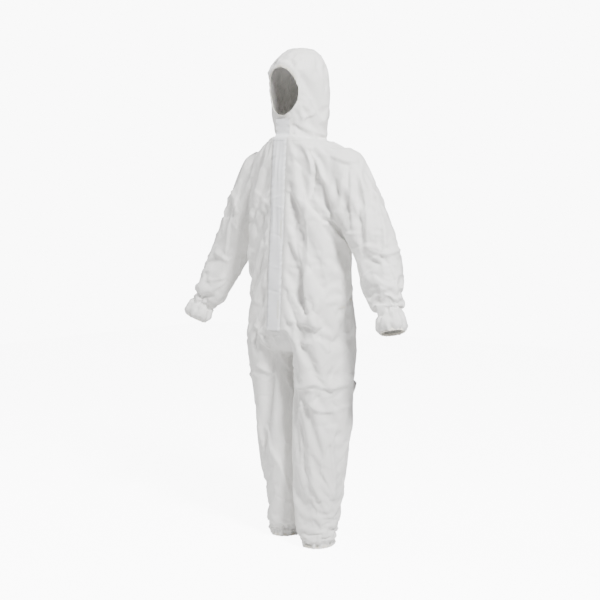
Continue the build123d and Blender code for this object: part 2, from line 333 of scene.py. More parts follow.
skinSettings = {"voxel": 0.010, "smoothing": 8}
torsoRows = [(h, half, frontAt(h), back) for h, half, back in bodyShape["rows"]] + bodyShape["seat"]
lofts = [uprightLoft("torso", torsoRows, bodyShape["squareness"]), uprightLoft("hood", hoodShape["rows"])]
for sideName, sign in sides.items():
    lofts += [legLoft("leg" + sideName, sign), armLoft("arm" + sideName, sign)]
bpy.ops.object.select_all(action="DESELECT")
for loft in lofts:
    loft.select_set(True)
bpy.context.view_layer.objects.active = lofts[0]
bpy.ops.object.join()
skin = bpy.context.view_layer.objects.active
skin.name = "skin"
applied(skin, "REMESH", mode="VOXEL", voxel_size=skinSettings["voxel"])
applied(skin, "SMOOTH", iterations=skinSettings["smoothing"], factor=0.5)


def cutNear(shape, point, outward, reach):
    faces = [f for f in shape.faces if (f.calc_center_median() - point).length < reach]
    edges = {e for f in faces for e in f.edges}
    verts = {v for f in faces for v in f.verts}
    bmesh.ops.bisect_plane(shape, geom=list(verts) + list(edges) + faces, plane_co=point,
                           plane_no=outward, clear_outer=True)


def faceShare(co):
    return (co[..., 0] / faceHole["halfWidth"]) ** 2 + ((co[..., 2] - up(faceHole["height"]))
                                                         / faceHole["halfHeight"]) ** 2


# the ankles, cuffs and face are opened
shape = bmesh.new()
shape.from_mesh(skin.data)
cuffMouths = {}
for sign in sides.values():
    cutNear(shape, Vector((0.1 * sign, legShift(0, sign), up(0.003))), Vector((0, 0, -1)), 0.14)
    shoulder, elbow, wrist = armPoints(sign)
    fore = (wrist - elbow).normalized()
    cuffMouths[sign] = (wrist + fore * armShape["cuffEnd"], fore)
    cutNear(shape, wrist + fore * armShape["cuffEnd"], fore, 0.08)
inFace = []
for face in shape.faces:
    middle = face.calc_center_median()
    if middle.y < -0.03 and faceShare(np.array(middle)) < 1:
        inFace.append(face)
bmesh.ops.delete(shape, geom=inFace, context="FACES")
for vert in shape.verts:
    if vert.is_boundary and vert.co.z > up(1.5) and vert.co.y < -0.02:
        size = math.sqrt(faceShare(np.array(vert.co)))
        vert.co.x /= size
        vert.co.z = up(faceHole["height"]) + (vert.co.z - up(faceHole["height"])) / size
shape.to_mesh(skin.data)
shape.free()
print("skin made", len(skin.data.vertices))


def pointsOf(piece, kind="co"):
    values = np.empty(len(piece.data.vertices) * 3)
    piece.data.vertices.foreach_get(kind, values)
    return values.reshape(-1, 3)


def movePoints(piece, points):
    piece.data.vertices.foreach_set("co", np.ascontiguousarray(points).ravel())
    piece.data.update()


# ---- cloth simulation: the skin is a little too large for the space between its held edges
clothSettings = {
    "frames": 40, "gap": 0.02, "mass": 0.15, "gravity": 0.3, "extra": 0.035,
    "tension": 60, "shear": 10, "bending": 2.0, "cap": 0.030,
}


def heldWeights(points):
    height = points[:, 2] + neckHeight
    across, depth = points[:, 0], points[:, 1]
    held = np.zeros(len(points))
    held[(height > 1.40) & (height < 1.45)] = 0.15
    held[height > 1.74] = 0.3
    held[(np.abs(height - 1.455) < 0.008) & (np.abs(across) < 0.12)] = 0.6
    held[(np.abs(height - 0.885) < 0.010) & (np.abs(across) < 0.25) & (depth > 0.0)] = 0.3
    crotch = (np.abs(across) < 0.05) & (height > 0.69) & (height < 0.79)
    held[crotch] = np.maximum(held[crotch], 0.5)
    strip = (np.abs(across) < 0.034) & (depth < -0.05) & (height > 0.79) & (height < 1.46)
    held[strip] = 0.9
    held[height < 0.012] = 1
    for mouth, fore in cuffMouths.values():
        along = (points - np.array(mouth)) @ np.array(fore)
        near = np.linalg.norm(points - np.array(mouth), axis=1) < 0.09
        held[near & (along > -0.008)] = 1
        held[near & (np.abs(along + armShape["cuffEnd"]) < 0.008)] = 0.9
    held[(faceShare(points) < 1.12) & (depth < -0.02)] = 1
    return held


def simulate(piece):
    start = pointsOf(piece)
    core = piece.copy()
    core.data = piece.data.copy()
    bpy.context.collection.objects.link(core)
    movePoints(core, start - pointsOf(core, "normal") * clothSettings["gap"])
    applied(core, "SMOOTH", iterations=10, factor=0.5)
    applied(core, "DECIMATE", ratio=0.3)
    bpy.ops.object.modifier_add(type="COLLISION")
    core.collision.thickness_outer = 0.002
    core.collision.cloth_friction = 8
    held = heldWeights(start)
    group = piece.vertex_groups.new(name="held")
    for value in np.unique(held[held > 0]):
        group.add([int(i) for i in np.where(held == value)[0]], float(value), "REPLACE")
    chooseOnly(piece)
    modifier = piece.modifiers.new("cloth", "CLOTH")
    cloth, hits = modifier.settings, modifier.collision_settings
    cloth.quality = 5
    cloth.mass = clothSettings["mass"]
    cloth.air_damping = 1.5
    cloth.tension_stiffness = cloth.compression_stiffness = clothSettings["tension"]
    cloth.shear_stiffness = clothSettings["shear"]
    cloth.bending_model = "ANGULAR"
    cloth.bending_stiffness = clothSettings["bending"]
    cloth.tension_damping = cloth.compression_damping = cloth.shear_damping = 5
    cloth.bending_damping = 0.5
    cloth.vertex_group_mass = "held"
    cloth.pin_stiffness = 2
    cloth.shrink_min = -clothSettings["extra"]
    cloth.effector_weights.gravity = clothSettings["gravity"]
    hits.use_collision = True
    hits.distance_min = 0.002
    hits.use_self_collision = False
    modifier.point_cache.frame_start = 1
    modifier.point_cache.frame_end = clothSettings["frames"]
    scene = bpy.context.scene
    scene.frame_start, scene.frame_end = 1, clothSettings["frames"]
    for number in range(1, clothSettings["frames"] + 1):
        scene.frame_set(number)
    bpy.ops.object.modifier_apply(modifier=modifier.name)
    piece.vertex_groups.clear()
    move = pointsOf(piece) - start
    length = np.maximum(np.linalg.norm(move, axis=1), 1e-9)
    cap = clothSettings["cap"]
    kept = cap * np.tanh(length / cap)
    movePoints(piece, start + move * (kept / length)[:, None])
    bpy.data.objects.remove(core)
    scene.frame_set(1)


simulate(skin)
print("cloth settled")


# ---- creases: the settled skin is sharpened, then folded along chosen and seeded lines
def edgesOf(piece):
    pairs = np.empty(len(piece.data.edges) * 2, dtype=int)
    piece.data.edges.foreach_get("vertices", pairs)
    return pairs.reshape(-1, 2)


def relaxed(points, edges, times, share=0.5):
    count = len(points)
    ends = np.concatenate([edges[:, 0], edges[:, 1]])
    others = np.concatenate([edges[:, 1], edges[:, 0]])
    degree = np.maximum(np.bincount(ends, minlength=count), 1)[:, None]
    for _ in range(times):
        sums = np.stack([np.bincount(ends, weights=points[others, k], minlength=count) for k in range(3)], 1)
        points = points * (1 - share) + sums / degree * share
    return points


def smoothStep(t):
    t = np.clip(t, 0, 1)
    return t * t * (3 - 2 * t)


sharpSettings = {"rounds": 5, "gain": 1.0, "softRounds": 14}
skinEdges = edgesOf(skin)
settled = pointsOf(skin)
movePoints(skin, settled + (settled - relaxed(settled, skinEdges, sharpSettings["rounds"])) * sharpSettings["gain"])
applied(skin, "SUBSURF", levels=1, render_levels=1)
skinEdges = edgesOf(skin)
creased = pointsOf(skin)
soft = skin.copy()
soft.data = skin.data.copy()
movePoints(soft, relaxed(creased, skinEdges, sharpSettings["softRounds"]))
softPoints, softNormals = pointsOf(soft), pointsOf(soft, "normal").copy()
softFaces = [tuple(p.vertices) for p in soft.data.polygons]
softTree = BVHTree.FromPolygons([Vector(p) for p in softPoints], softFaces)
bpy.data.objects.remove(soft)
push = np.zeros(len(creased))


def curveThrough(points, steps):
    return [Vector(p) for p in smoothRows(points, steps)]


def foldAlong(line, height, spread, steps=7, laid=True):
    """spread is the reach of the fold to the left and to the right of the line"""
    path = []
    for point in curveThrough(line, steps):
        spot, normal, _, _ = softTree.find_nearest(point)
        path.append((np.array(spot), np.array(normal)))
    reach = max(spread)
    spots = np.array([p for p, _ in path])
    low, high = spots.min(0) - reach, spots.max(0) + reach
    near = np.where(np.all((softPoints > low) & (softPoints < high), axis=1))[0]
    if not len(near):
        return
    best = np.full(len(near), 1e9)
    side, along = np.zeros(len(near)), np.zeros(len(near))
    total = len(path) - 1
    for k in range(total):
        start, end, normal = path[k][0], path[k + 1][0], path[k][1]
        run = end - start
        length = float(run @ run)
        if length < 1e-9:
            continue
        t = np.clip((softPoints[near] - start) @ run / length, 0, 1)
        away = softPoints[near] - (start + t[:, None] * run)
        distance = np.linalg.norm(away, axis=1)
        facing = softNormals[near] @ normal > 0.1
        closer = facing & (distance < best)
        best[closer] = distance[closer]
        side[closer] = (away @ np.cross(normal, run))[closer]
        along[closer] = ((k + t) / total)[closer]
    width = np.where(side > 0, spread[0], spread[1])
    share = np.clip(1 - best / width, 0, 1) ** 1.35
    ends = np.sin(np.pi * np.clip(along, 0, 1)) ** 0.5
    push[near] += height * share * ends


def seededFolds(settings):
    dice = np.random.default_rng(settings["seed"])
    chosen = np.where(settings["where"](softPoints))[0]
    for _ in range(settings["count"]):
        spot = softPoints[dice.choice(chosen)]
        _, normal, _, _ = softTree.find_nearest(Vector(spot))
        lean = Vector(dice.normal(size=3)) * settings["stray"] + Vector(settings["run"])
        run = (lean - normal * lean.dot(normal)).normalized()
        turn = normal.cross(run) * dice.normal() * 0.25
        length = settings["length"] * dice.uniform(0.5, 1.5)
        line = [Vector(spot) + (run + turn * t) * (length * t) for t in (-0.5, -0.17, 0.17, 0.5)]
        height = settings["height"] * dice.uniform(0.4, 1.3) * (1 if dice.random() < 0.62 else -0.8)
        wide, narrow = settings["spread"] * dice.uniform(0.7, 1.4), settings["spread"] * dice.uniform(0.25, 0.7)
        foldAlong(line, height, (wide, narrow) if dice.random() < 0.5 else (narrow, wide), 3)


# chosen folds: points (across, depth, height above the hems), rise, reach to each side of the line
chosenFolds = [
    ([(.110, -.13, 1.27), (.120, -.13, 1.115), (.120, -.14, .955), (.134, -.133, .845), (.153, -.12, .795)],
     .020, (.060, .016)),
    ([(.112, -.11, 1.43), (.135, -.118, 1.355), (.125, -.126, 1.255)], -.021, (.055, .010)),
    ([(.045, -.14, 1.30), (.085, -.15, 1.12), (.095, -.16, .95), (.090, -.16, .86)], -.015, (.040, .050)),
    ([(.262, -.075, 1.36), (.272, -.075, 1.24), (.285, -.08, 1.13)], .011, (.022, .009)),
    ([(.300, -.06, 1.33), (.325, -.065, 1.20), (.335, -.075, 1.08)], .010, (.024, .009)),
    ([(.325, -.02, 1.30), (.365, -.03, 1.17), (.385, -.05, 1.05)], .010, (.024, .010)),
    ([(.290, -.07, 1.29), (.305, -.07, 1.17), (.322, -.08, 1.06)], -.009, (.016, .014)),
    ([(-.23, -.08, 1.33), (-.27, -.08, 1.18), (-.31, -.08, 1.05)], .010, (.010, .022)),
    ([(.06, -.13, .50), (.075, -.12, .36), (.085, -.10, .22)], .009, (.012, .030)),
    ([(.165, -.07, .46), (.160, -.05, .33), (.155, -.03, .20)], .009, (.026, .012)),
    ([(-.13, -.12, .58), (-.13, -.10, .42), (-.12, -.07, .28)], .009, (.012, .030)),
    ([(.147, -.107, 1.405), (.166, -.107, 1.305)], .008, (.018, .035)),
    ([(.242, -.071, 1.37), (.235, -.088, 1.265), (.212, -.061, 1.17)], .012, (.014, .030)),
    ([(.045, -.166, .825), (.095, -.155, .825), (.135, -.136, .815), (.159, -.119, .795)], .010, (.035, .012)),
    ([(.038, -.102, .605), (.085, -.131, .586), (.135, -.12, .604), (.181, -.081, .588), (.189, .049, .600)], .014, (.050, .012)),
    ([(.102, -.13, .56), (.150, -.11, .51), (.188, -.057, .505)], .011, (.032, .010)),
    ([(.110, -.12, .535), (.072, -.12, .49), (.060, -.11, .44)], .009, (.012, .028)),
    ([(.086, -.112, .325), (.134, -.087, .205), (.160, -.028, .08)], .008, (.025, .012)),
    ([(.153, -.084, .295), (.166, -.025, .175)], .009, (.012, .026)),
    ([(-.105, -.103, .425), (-.057, -.073, .295), (-.038, -.032, .165)], .010, (.012, .030)),
    ([(-.105, -.134, .655), (-.075, -.126, .635), (-.050, -.109, .62)], .010, (.028, .012)),
    ([(.039, -.109, 1.522), (.078, -.055, 1.495), (.080, .039, 1.479)], .008, (.022, .010)),
    ([(.062, -.091, 1.536), (.089, -.038, 1.562)], .007, (.018, .010)),
    ([(.168, -.088, 1.417), (.238, -.068, 1.386), (.267, -.025, 1.387)], .008, (.024, .012)),
    ([(.322, -.024, 1.284), (.367, .005, 1.197)], .008, (.022, .012)),
    ([(.335, -.079, 1.085), (.403, -.063, 1.065), (.410, .020, 1.08)], .012, (.026, .010)),
    ([(.330, -.075, 1.05), (.392, -.068, 1.03)], -.008, (.018, .012)),
    ([(.365, -.095, .995), (.428, -.088, .966), (.451, -.044, .971)], .009, (.020, .009)),
    ([(-.282, -.071, 1.294), (-.234, -.077, 1.204)], .010, (.026, .012)),
    ([(-.365, -.085, 1.065), (-.307, -.063, 1.025)], .010, (.024, .010)),
    ([(-.085, -.129, 1.375), (-.141, -.121, 1.255), (-.160, -.11, 1.126)], .010, (.035, .014)),
    ([(.035, -.154, 1.035), (.095, -.145, 1.015)], .005, (.016, .010)),
    ([(.159, -.119, .765), (.183, -.084, .715)], .009, (.022, .012)),
    ([(.104, -.154, .745), (.143, -.133, .755)], .009, (.020, .010)),
    ([(-.095, -.156, .805), (-.045, -.145, .734)], .010, (.024, .012)),
    ([(-.075, -.164, .755), (-.040, -.11, .714)], .009, (.020, .012)),
    ([(.0, .13, 1.40), (.08, .14, 1.20), (.10, .15, .98)], .010, (.040, .016)),
    ([(-.05, .13, 1.34), (-.11, .14, 1.12), (-.12, .15, .95)], .010, (.016, .038)),
    ([(-.14, .12, .80), (-.05, .14, .775), (.05, .14, .77)], .006, (.035, .020)),
    ([(.06, .13, .66), (.14, .10, .60), (.18, .03, .57)], .011, (.034, .011)),
    ([(-.05, .12, .62), (-.12, .11, .565), (-.17, .04, .55)], .011, (.012, .034)),
]
for line, height, spread in chosenFolds:
    foldAlong([(x, y, up(h)) for x, y, h in line], height, spread)


def between(points, low, high):
    height = points[:, 2] + neckHeight
    return (height > low) & (height < high)


foldGroups = [
    {"seed": 3, "count": 46, "length": 0.20, "height": 0.0055, "spread": 0.030, "stray": 0.45, "run": (0, 0, 1),
     "where": lambda p: between(p, 0.82, 1.43) & (np.abs(p[:, 0]) < 0.22) & (np.abs(p[:, 0]) > 0.04)},
    {"seed": 5, "count": 60, "length": 0.13, "height": 0.0060, "spread": 0.024, "stray": 0.7, "run": (0, 0, 1),
     "where": lambda p: between(p, 0.10, 0.80) & (np.abs(p[:, 0]) < 0.25)},
    {"seed": 7, "count": 34, "length": 0.10, "height": 0.0065, "spread": 0.020, "stray": 0.6, "run": (0.7, 0.5, 0.3),
     "where": lambda p: between(p, 0.40, 0.64) & (np.abs(p[:, 0]) < 0.25)},
    {"seed": 9, "count": 56, "length": 0.12, "height": 0.0050, "spread": 0.020, "stray": 0.7, "run": (0, 0, 1),
     "where": lambda p: between(p, 0.86, 1.42) & (np.abs(p[:, 0]) > 0.24)},
    {"seed": 11, "count": 30, "length": 0.08, "height": 0.0055, "spread": 0.016, "stray": 0.6, "run": (1, 0.3, 0.2),
     "where": lambda p: between(p, 0.92, 1.14) & (np.abs(p[:, 0]) > 0.26)},
    {"seed": 13, "count": 34, "length": 0.09, "height": 0.0035, "spread": 0.018, "stray": 0.8, "run": (0, 0.4, 1),
     "where": lambda p: between(p, 1.47, 1.78) & (np.abs(p[:, 0]) < 0.2)},
    {"seed": 17, "count": 420, "length": 0.055, "height": 0.0022, "spread": 0.010, "stray": 1.0, "run": (0, 0, 0.4),
     "where": lambda p: np.abs(p[:, 2]) < 5},
]
for group in foldGroups:
    seededFolds(group)


def gatherAround(centre, along, reach, count, height, seed):
    """small pleats that run along the given direction and die away from the elastic"""
    dice = np.random.default_rng(seed)
    centre, along = np.array(centre, float), np.array(along, float)
    side = np.cross(along, (0, 1, 0))
    side = side / np.linalg.norm(side)
    front = np.cross(along, side)
    away = softPoints - centre
    depth = away @ along
    near = np.where((np.linalg.norm(away, axis=1) < 0.16) & (np.abs(depth) < reach))[0]
    angle = np.arctan2(away[near] @ front, away[near] @ side)
    wave = np.zeros(len(near))
    for number, share in ((count, 1.0), (round(count * 0.62), 0.7), (round(count * 1.45), 0.5)):
        wave += share * np.cos(number * angle + dice.uniform(0, 6.28) + 0.8 * np.sin(2 * angle))
    push[near] += height * wave * smoothStep(1 - np.abs(depth[near]) / reach)


for sign in sides.values():
    shoulder, elbow, wrist = armPoints(sign)
    fore = (wrist - elbow).normalized()
    gatherAround(cuffMouths[sign][0], fore, 0.036, 13, 0.0030, 21 + sign)
    gatherAround(wrist, fore, 0.032, 11, 0.0026, 25 + sign)
    ankle = Vector((0.095 * sign, legShift(0, sign), up(0.0)))
    gatherAround(ankle, (0, 0, 1), 0.060, 19, 0.0034, 31 + sign)
waistNear = np.abs(creased[:, 2] - up(0.885))
waistBack = (creased[:, 1] > 0.0) & (np.abs(creased[:, 0]) < 0.25)
waistWave = np.cos(creased[:, 0] * 150) + 0.7 * np.cos(creased[:, 0] * 237 + 1) + np.cos(creased[:, 1] * 170 + 2)
push += np.where(waistBack, 0.0022 * waistWave * smoothStep(1 - waistNear / 0.07), 0)

# nothing is pushed beside the zip or at the face rim
stripShare = smoothStep((0.052 - np.abs(creased[:, 0])) / 0.018)
stripShare *= (creased[:, 1] < -0.05) * smoothStep((creased[:, 2] - up(0.775)) / 0.03)
stripShare *= smoothStep((up(1.475) - creased[:, 2]) / 0.02)
faceRim = (creased[:, 1] < -0.02) & (faceShare(creased) < 1.25)
push *= (1 - stripShare) * np.where(faceRim, smoothStep((faceShare(creased) - 1) / 0.25), 1)
creased = creased + softNormals * np.clip(push, -0.022, 0.024)[:, None]
front = -(bodyShape["frontAtNeck"] - creased[:, 2] * bodyShape["frontLean"])
creased[:, 1] += (front - creased[:, 1]) * stripShare
creased = relaxed(creased, skinEdges, 1, 0.25)
creased[:, 2] = np.maximum(creased[:, 2], up(0.001))
movePoints(skin, creased)
print("creases folded")


# ---- the skin is cut along its seams, and each piece gets its wall
cuts = {
    "armhole": ((0.215, 0, 1.120), (0.998, 0, 0.059)),
    "dropSeam": ((0.221, 0, 1.132), (0.853, 0, -0.522)),
    "sleeveJoin": ((0.258, 0, 1.075), (0.467, 0, -0.884)),
}
slotHalf = 0.009
zipTop, zipBottom = 1.452, 0.800
hoodStrip = 0.042


def onArm(points):
    height = points[..., 2] + neckHeight
    line = np.where(height < 1.12, 0.215 + (1.12 - height) * 0.5, 0.215 - (height - 1.12) * 0.059)
    return (np.abs(points[..., 0]) > line) & (height < 1.45)


def beyond(points, cut):
    at, outward = np.array(cuts[cut][0], float), np.array(cuts[cut][1])
    at[2] = up(at[2])
    mirrored = np.abs(points[..., 0]) * outward[0] + points[..., 2] * outward[2]
    return mirrored - at[0] * outward[0] - at[2] * outward[2]


def pastWrist(points):
    depth = np.full(points.shape[:-1], -1.0)
    for sign in sides.values():
        shoulder, elbow, wrist = armPoints(sign)
        along = (points - np.array(wrist)) @ np.array((wrist - elbow).normalized())
        depth = np.where(points[..., 0] * sign > 0, along, depth)
    return depth


def slice(shape, point, outward, wanted):
    reach = 0.02
    chosen = []
    for face in shape.faces:
        middle = face.calc_center_median()
        if abs((middle - point).dot(outward)) < reach:
            chosen.append(face)
    if not chosen:
        return
    middles = np.array([f.calc_center_median() for f in chosen])
    kept = [f for f, keep in zip(chosen, wanted(middles)) if keep]
    edges = {e for f in kept for e in f.edges}
    verts = {v for f in kept for v in f.verts}
    bmesh.ops.bisect_plane(shape, geom=list(verts) + list(edges) + kept, dist=0.0002,
                           plane_co=point, plane_no=outward)


shape = bmesh.new()
shape.from_mesh(skin.data)
slice(shape, Vector((0, 0, 0)), Vector((0, 0, 1)), lambda p: np.abs(p[:, 0]) < 0.19)
slice(shape, Vector((0, 0, up(1.52))), Vector((0, 0, 1)), lambda p: p[:, 2] > 0)
for x in (hoodStrip, -hoodStrip):
    slice(shape, Vector((x, 0, 0)), axisX, lambda p: p[:, 2] > up(1.50))
slice(shape, Vector((0, 0, 0)), axisX, lambda p: p[:, 2] < 0.02)
for x in (slotHalf, -slotHalf):
    slice(shape, Vector((x, 0, 0)), axisX, lambda p: (p[:, 1] < 0) & between(p, 0.77, 1.47))
for height in (zipTop, zipBottom, 0.58, 0.10):
    slice(shape, Vector((0, 0, up(height))), Vector((0, 0, 1)), lambda p: ~onArm(p) & (p[:, 2] < 0))
slice(shape, Vector((0, 0, 0)), axisY, lambda p: between(p, 0.79, 1.47) & ~onArm(p))
for sign in sides.values():
    mirror = np.array((sign, 1, 1))
    for name, (at, outward) in cuts.items():
        slice(shape, lifted(at, sign), Vector(outward * mirror),
              lambda p: (p[:, 0] * sign > 0.17) & between(p, 1.0, 1.46) & (onArm(p) | (name == "armhole")))
    shoulder, elbow, wrist = armPoints(sign)
    slice(shape, wrist, (wrist - elbow).normalized(), lambda p: (p[:, 0] * sign > 0.3) & between(p, 0.7, 0.95))
shape.normal_update()
shape.to_mesh(skin.data)
shape.free()
print("seams cut", len(skin.data.polygons))

skinPoints, skinNormals = pointsOf(skin), pointsOf(skin, "normal").copy()
skinFaces = [tuple(p.vertices) for p in skin.data.polygons]
middles = np.array([skinPoints[list(f)].mean(0) for f in skinFaces])
skinTree = BVHTree.FromPolygons([Vector(p) for p in skinPoints], skinFaces)


def walled(name, points, faces, normals, thickness):
    """a sheet becomes a closed wall: outer face, inner face and rim, shaded with the sheet's own normals"""
    used = sorted({v for f in faces for v in f})
    place = {v: i for i, v in enumerate(used)}
    count = len(used)
    outer = points[used]
    own = normals[used]
    inner = outer - own * thickness
    made, seen = [], {}
    for face in faces:
        turned = [place[v] for v in face]
        made.append(tuple(turned))
        made.append(tuple(v + count for v in reversed(turned)))
        for a, b in zip(turned, turned[1:] + turned[:1]):
            seen[(a, b)] = seen.get((a, b), 0) + 1
    for a, b in list(seen):
        if (b, a) not in seen:
            made.append((b, a, a + count, b + count))
    piece = meshObject(name, np.concatenate([outer, inner]), made)
    piece.data.polygons.foreach_set("use_smooth", [True] * len(piece.data.polygons))
    piece.data.normals_split_custom_set_from_vertices([tuple(n) for n in np.concatenate([own, -own])])
    return piece


height = middles[:, 2] + neckHeight
across, depth = middles[:, 0], middles[:, 1]
arm, hood = onArm(middles), (middles[:, 2] > 0) & (np.abs(across) < 0.2)
trunk = ~arm & ~hood & (height > zipBottom)
slot = trunk & (np.abs(across) < slotHalf) & (depth < -0.05) & (height < zipTop)
pieceMasks = {
    "hoodNeck": hood & (height < 1.52),
    "hoodChin": hood & (height > 1.52) & (height < 1.60) & (np.abs(across) < hoodStrip) & (depth < -0.02),
}
pieceMasks["hoodCentre"] = hood & (height > 1.52) & (np.abs(across) < hoodStrip) & ~pieceMasks["hoodChin"]
for sideName, sign in sides.items():
    own = across * sign > 0
    title = sideName.capitalize()
    pieceMasks["hood" + title] = hood & own & (height > 1.52) & (np.abs(across) > hoodStrip)
    pieceMasks["frontPanel" + title] = trunk & own & (depth < 0) & ~slot
    pieceMasks["backPanel" + title] = trunk & own & (depth > 0)
    ownArm = arm & own
    inner, outer = beyond(middles, "dropSeam") < 0, beyond(middles, "sleeveJoin") > 0
    pieceMasks["shoulder" + title] = ownArm & inner & ~outer
    pieceMasks["upperSleeve" + title] = ownArm & ~inner & ~outer
    pieceMasks["lowerSleeve" + title] = ownArm & outer & (pastWrist(middles) < 0)
    pieceMasks["sleeveCuff" + title] = ownArm & (pastWrist(middles) > 0)
    leg = ~arm & own & (height < zipBottom)
    pieceMasks["upperLeg" + title] = leg & (height > 0.58)
    pieceMasks["lowerLeg" + title] = leg & (height < 0.58) & (height > 0.10)
    pieceMasks["ankleCuff" + title] = leg & (height < 0.10)
clothWall = 0.0009
pieces = {}
for name, mask in pieceMasks.items():
    faces = [skinFaces[i] for i in np.where(mask)[0]]
    pieces[name] = walled(name, skinPoints, faces, skinNormals, clothWall)
    paint(pieces[name], "suitCloth")
bpy.data.objects.remove(skin)
print("pieces walled", len(pieces))


# ---- elastics: gathered bands at the face, wrists, ankles and waist
def gatheredBand(name, path, outwards, alongs, settings, closed=True):
    """a soft flat band round a path: width lies along the given direction, ruffled by its gathers"""
    dice = np.random.default_rng(settings["seed"])
    phase, count, profile = dice.uniform(0, 6.28, 3), len(path), 12
    rows = []
    for i in range(count):
        turn = 2 * math.pi * i / count
        ruffle = sum(math.cos(settings["gathers"] * m * turn + phase[k] + math.sin(3 * turn))
                     for k, m in enumerate((1, 0.63, 1.7))) / 2
        for j in range(profile):
            angle = 2 * math.pi * j / profile
            flat = math.copysign(abs(math.sin(angle)) ** 0.6, math.sin(angle)) * settings["width"] / 2
            out = math.copysign(abs(math.cos(angle)) ** 0.6, math.cos(angle)) * settings["thick"] / 2
            edge = 1 + 0.5 * abs(math.sin(angle))
            out += ruffle * settings["ruffle"] * edge
            rows.append(path[i] + outwards[i] * out + alongs[i] * flat)
    faces = gridFaces(count, profile, True, closed)
    if not closed:
        faces += [tuple(range(profile)), tuple(range((count - 1) * profile, count * profile))]
    piece = meshObject(name, rows, faces)
    faceOutwards(piece)
    piece.data.polygons.foreach_set("use_smooth", [True] * len(piece.data.polygons))
    paint(piece, "elastic")
    return piece


def ringAround(centre, along, half, front, count):
    along = Vector(along).normalized()
    side = axisY.cross(along).normalized() if abs(along.y) < 0.9 else Vector(axisX)
    forward = along.cross(side)
    path, outwards = [], []
    for step in range(count):
        angle = 2 * math.pi * step / count
        out = side * (math.cos(angle) * half) + forward * (math.sin(angle) * front)
        path.append(centre + out)
        outwards.append((side * (math.cos(angle) / half) + forward * (math.sin(angle) / front)).normalized())
    return path, outwards, [along] * count


wristBand = {"radius": 0.0405, "width": 0.010, "thick": 0.003, "ruffle": 0.0011, "gathers": 24, "seed": 2}
ankleBand = {"halfWidth": 0.0525, "halfDepth": 0.0625, "width": 0.011, "thick": 0.0032, "ruffle": 0.0013,
             "gathers": 34, "seed": 4}
for sideName, sign in sides.items():
    title = sideName.capitalize()
    mouth, fore = cuffMouths[sign]
    ring = ringAround(mouth, fore, wristBand["radius"], wristBand["radius"], 200)
    pieces["wristElastic" + title] = gatheredBand("wristElastic" + title, *ring, wristBand)
    centre = Vector((0.095 * sign, legShift(0, sign), up(0.0062)))
    ring = ringAround(centre, (0, 0, 1), ankleBand["halfWidth"], ankleBand["halfDepth"], 280)
    pieces["ankleElastic" + title] = gatheredBand("ankleElastic" + title, *ring, ankleBand)

faceBand = {"width": 0.0085, "thick": 0.003, "ruffle": 0.0007, "gathers": 46, "seed": 6}
rim, rimOut, rimAlong = [], [], []
for step in range(260):
    angle = 2 * math.pi * step / 260
    radial = Vector((math.cos(angle) * faceHole["halfWidth"], 0, math.sin(angle) * faceHole["halfHeight"]))
    start = Vector((radial.x * 1.05, -0.6, up(faceHole["height"]) + radial.z * 1.05))
    hit, normal, _, _ = skinTree.ray_cast(start, axisY)
    rim.append(Vector((radial.x, hit.y if hit else -0.12, up(faceHole["height"]) + radial.z)))
    rimOut.append(normal if hit else -axisY)
    rimAlong.append(radial.normalized())
for _ in range(3):
    rim = [Vector((p.x, (rim[i - 1].y + p.y + rim[(i + 1) % len(rim)].y) / 3, p.z)) for i, p in enumerate(rim)]
    rimOut = [(rimOut[i - 1] + n + rimOut[(i + 1) % len(rimOut)]).normalized() for i, n in enumerate(rimOut)]
rimAlong = [(a - n * a.dot(n)).normalized() for a, n in zip(rimAlong, rimOut)]
pieces["faceElastic"] = gatheredBand("faceElastic", rim, rimOut, rimAlong, faceBand)

waistBand = {"width": 0.027, "thick": 0.0022, "ruffle": 0.0008, "gathers": 60, "seed": 8, "inside": 0.0045}
path, outs = [], []
for step in range(181):
    angle = math.radians(-108 + 216 * step / 180)
    out = Vector((math.sin(angle), math.cos(angle), 0))
    hit, _, _, _ = skinTree.ray_cast(Vector((0, 0, up(0.885))), out)
    path.append(hit - out * waistBand["inside"])
    outs.append(out)
for _ in range(4):
    path = path[:1] + [(a + b + c) / 3 for a, b, c in zip(path, path[1:], path[2:])] + path[-1:]
pieces["waistElastic"] = gatheredBand("waistElastic", path, outs, [Vector((0, 0, 1))] * 181, waistBand, False)
print("elastics made")


# ---- storm flap and chin flap
flapSettings = {
    "halfWidth": 0.030, "top": 1.4605, "bottom": 0.792, "rows": 200, "columns": 21,
    "standoff": 0.0066, "thickness": 0.0011, "chinTop": 1.538, "chinRows": 30,
}


def flapLift(x, height):
    share = (x + flapSettings["halfWidth"]) / (2 * flapSettings["halfWidth"])
    lift = flapSettings["standoff"] - 0.0040 * float(1 - smoothStep(share / 0.12))
    lift -= 0.0034 * float(smoothStep((share - 0.88) / 0.12))
    hem = math.exp(-share / 0.10) + math.exp(-(1 - share) / 0.10)
    lift += 0.0009 * hem * (math.cos(height * 310 + 3 * math.sin(height * 23)) + math.cos(height * 190 + 1))
    lift += 0.0013 * math.sin(height * 19 + 1.2) + 0.0007 * math.sin(height * 47 + x * 60)
    upper = float(smoothStep((height - 1.02) / 0.12))
    for middle, sway, turn, rise, reach in ((-0.010, 0.005, 9, 0.0034, 0.010), (0.009, 0.004, 13, 0.0026, 0.008)):
        away = abs(x - middle - sway * math.sin(height * turn))
        lift += upper * rise * max(0, 1 - away / reach) ** 1.3 * (0.6 + 0.4 * math.sin(height * 31 + middle * 400))
    for at in (1.405, 1.318, 1.262, 1.228, 1.13, 1.015, 0.93):
        slant = height - at - x * (0.25 if at > 1.25 else -0.15)
        lift += 0.0022 * math.exp(-abs(slant) / 0.0035) * math.cos(x * 40 + at * 30)
    return max(lift, 0.0022)


